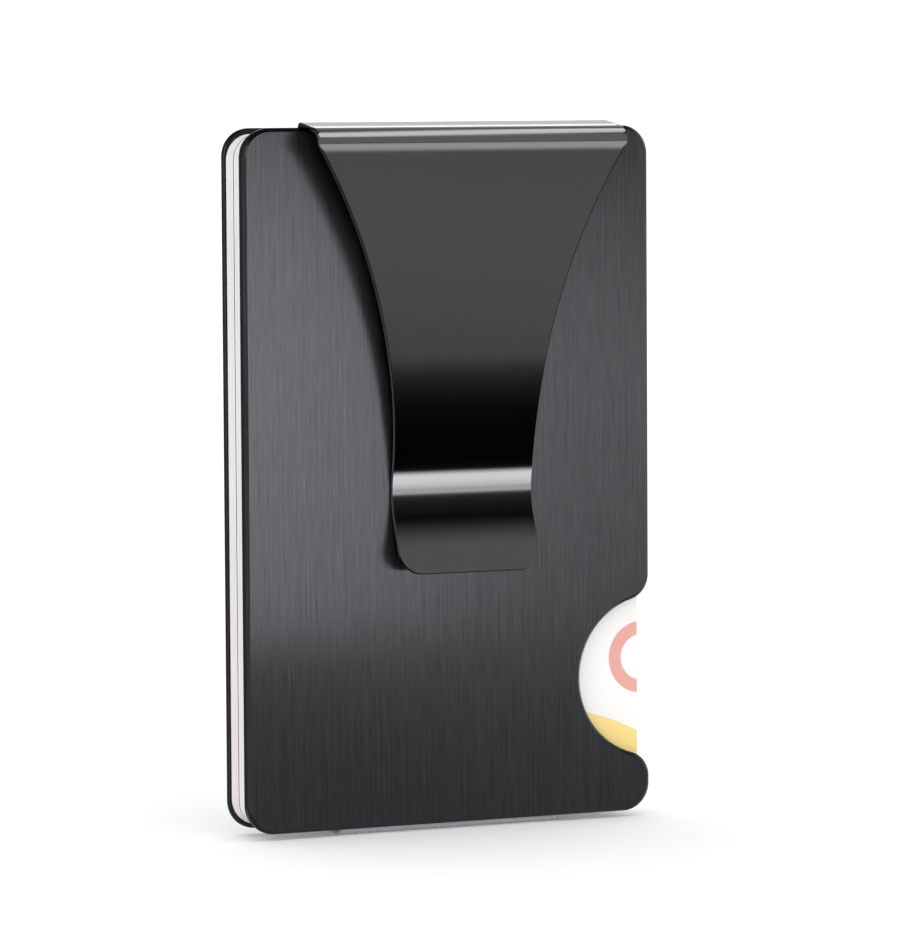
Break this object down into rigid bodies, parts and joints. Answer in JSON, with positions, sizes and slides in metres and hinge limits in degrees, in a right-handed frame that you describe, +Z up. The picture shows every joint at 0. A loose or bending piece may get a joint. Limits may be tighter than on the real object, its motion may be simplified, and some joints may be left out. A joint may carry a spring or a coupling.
{
  "type": "minimalist wallet",
  "caption": "Slim card wallet: brushed metal plates pulled together by an elastic band round a stack of cards, with a bent sheet money clip and a thumb notch for pushing the cards out.",
  "frame": {"origin": "bottom centre of the wallet's bounding box as it stands on its short edge", "axes": "+X across the wallet towards the thumb notch, +Y from the money clip towards the back plate, +Z up, towards the clip's bend"},
  "size_m": [0.055, 0.013, 0.0885],
  "materials": {
    "anodised_plate": "brushed, black anodised",
    "liner": "fine matt black",
    "screw": "black oxide",
    "clip_sheet": "smooth satin black coating",
    "elastic": "woven grey elastic",
    "card": "laminated, satin",
    "chip": "gold plated contacts"
  },
  "bodies": {
    "back_side": {"back_plate": "anodised_plate", "back_liner": "liner", "back_liner_screws": "screw", "band_back_run": "elastic", "band_top_turn": "elastic", "band_bottom_turn": "elastic"},
    "front_side": {"front_plate": "anodised_plate", "front_liner": "liner", "front_liner_screws": "screw", "band_front_run": "elastic", "clip_root": "clip_sheet", "clip_screws": "screw"},
    "clip_spring": {"clip_arm": "clip_sheet"},
    "card_1": {"card_1": "card"},
    "card_2": {"card_2": "card", "card_2_chip": "chip"},
    "card_3": {"card_3": "card", "card_3_chip": "chip"},
    "card_4": {"card_4": "card", "card_4_chip": "chip"},
    "card_5": {"card_5": "card", "card_5_chip": "chip"}
  },
  "joints": [
    {"name": "plate_spread", "type": "slide", "parent": "back_side", "child": "front_side", "axis": [0, -1, 0], "range_m": [0, 0.0055], "stiffness_N_per_m": 800, "springref_m": -0.004, "deforming": ["band_top_turn", "band_bottom_turn"]},
    {"name": "clip_flex", "type": "hinge", "parent": "front_side", "child": "clip_spring", "pos_m": [0.0012, -0.00624, 0.0852], "axis": [-1, 0, 0], "range_deg": [0, 7], "stiffness_Nm_per_rad": 1, "springref_deg": -2.86},
    {"name": "card_1_slide", "type": "slide", "parent": "back_side", "child": "card_1", "axis": [-1, 0, 0], "range_m": [0, 0.04]},
    {"name": "card_2_slide", "type": "slide", "parent": "back_side", "child": "card_2", "axis": [-1, 0, 0], "range_m": [0, 0.04]},
    {"name": "card_3_slide", "type": "slide", "parent": "back_side", "child": "card_3", "axis": [-1, 0, 0], "range_m": [0, 0.04]},
    {"name": "card_4_slide", "type": "slide", "parent": "back_side", "child": "card_4", "axis": [-1, 0, 0], "range_m": [0, 0.04]},
    {"name": "card_5_slide", "type": "slide", "parent": "back_side", "child": "card_5", "axis": [-1, 0, 0], "range_m": [0, 0.04]}
  ]
}
